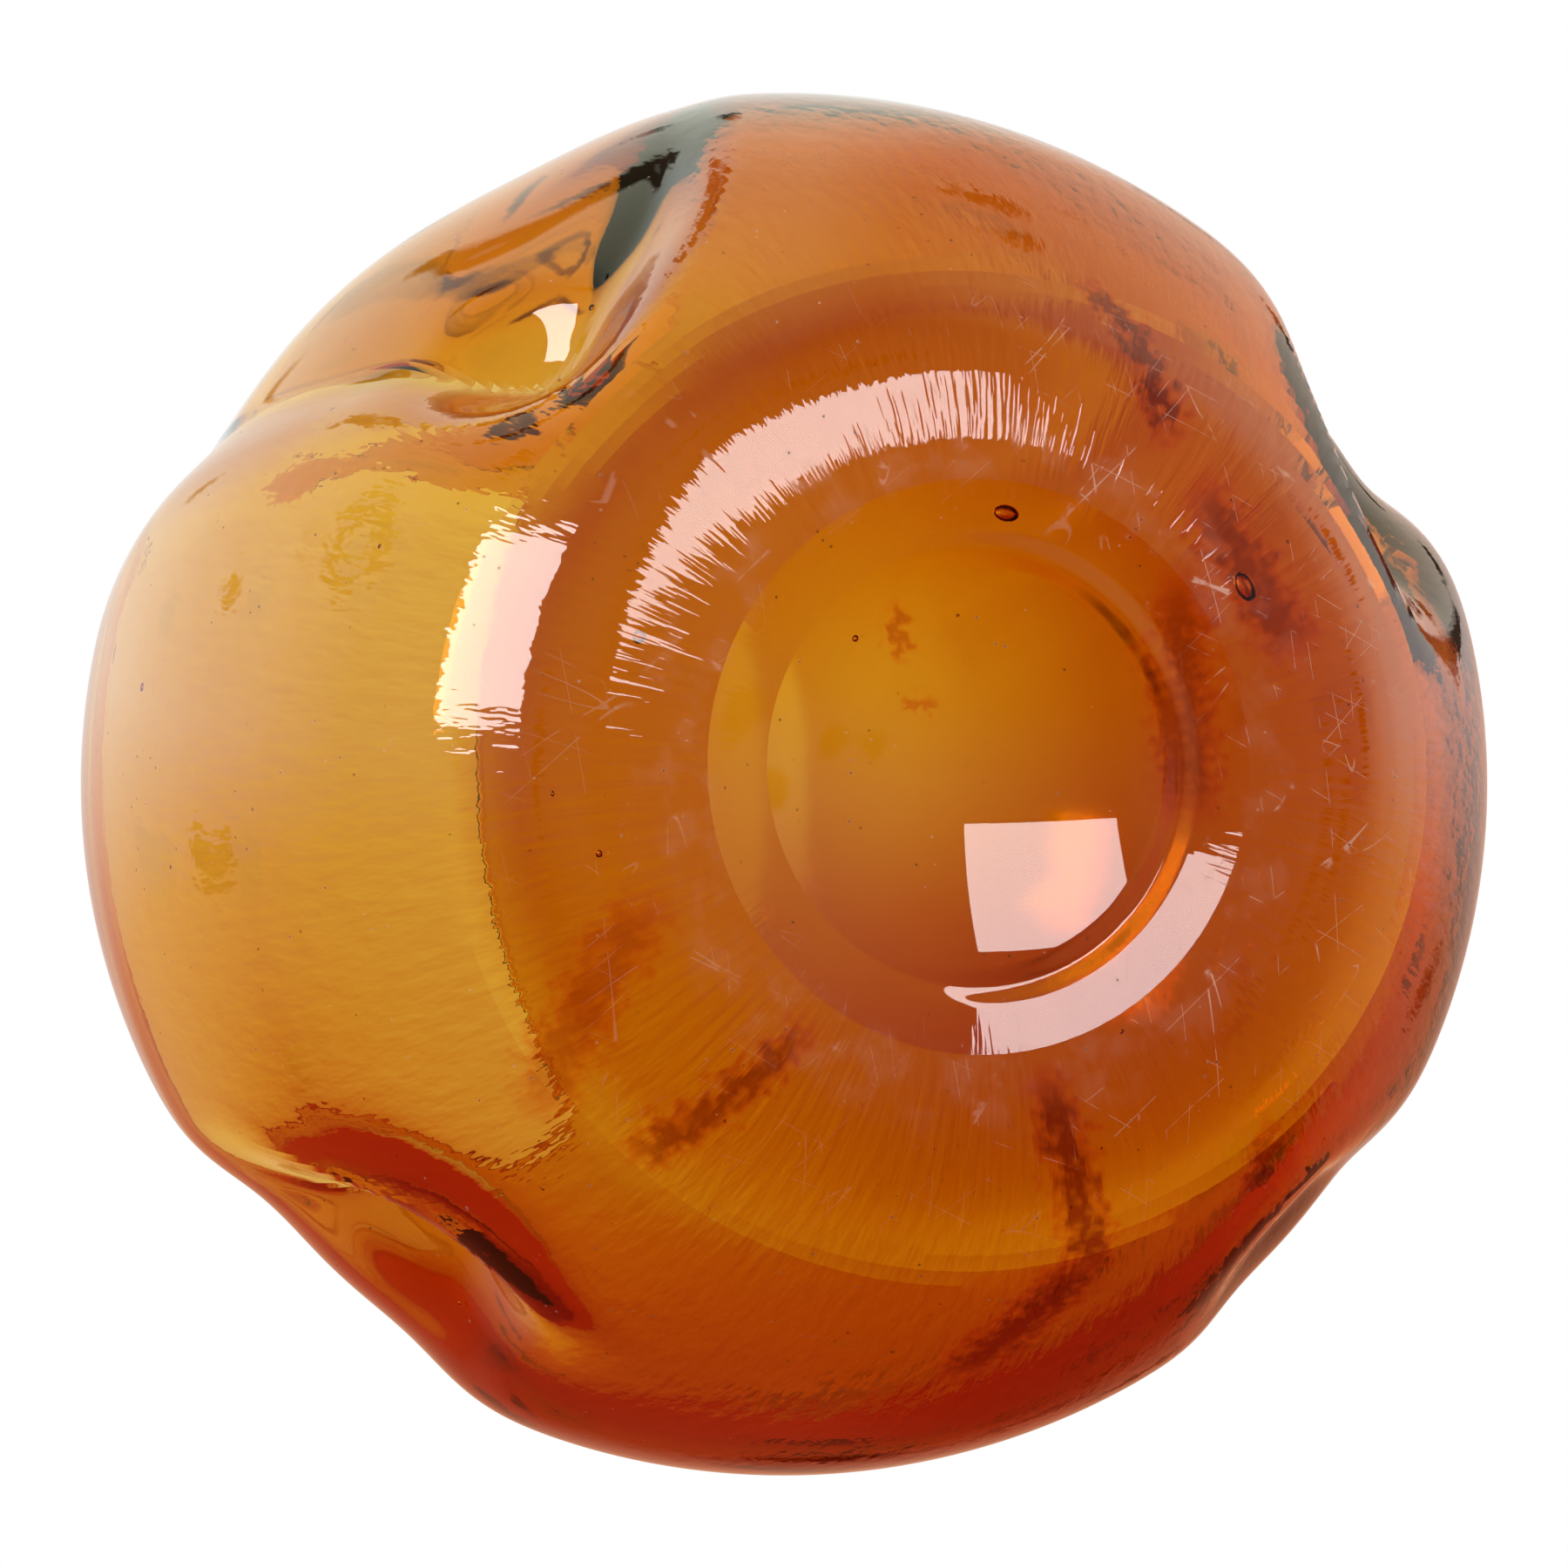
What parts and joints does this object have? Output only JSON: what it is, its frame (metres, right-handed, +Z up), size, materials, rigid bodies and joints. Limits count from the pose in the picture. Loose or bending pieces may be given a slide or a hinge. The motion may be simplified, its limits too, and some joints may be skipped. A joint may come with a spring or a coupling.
{
  "type": "glass bowl",
  "caption": "Thick amber art glass bowl: a nearly round body with four hollows pressed into its sides, a wide oval mouth leaning to one side, and a ground hollow under its resting ring",
  "frame": {"origin": "centre of the bowl's box on the plane of its resting ring", "axes": "+Z is up, out of the bowl; the mouth leans over towards -X; the four hollows face about -127, -28, 49 and 138 degrees from +X"},
  "size_m": [0.1609, 0.1578, 0.1288],
  "materials": {
    "amber_glass": "smooth fire-polished blown glass, ground hollow under the base"
  },
  "bodies": {
    "root": {"bowl_body": "amber_glass"}
  },
  "joints": []
}
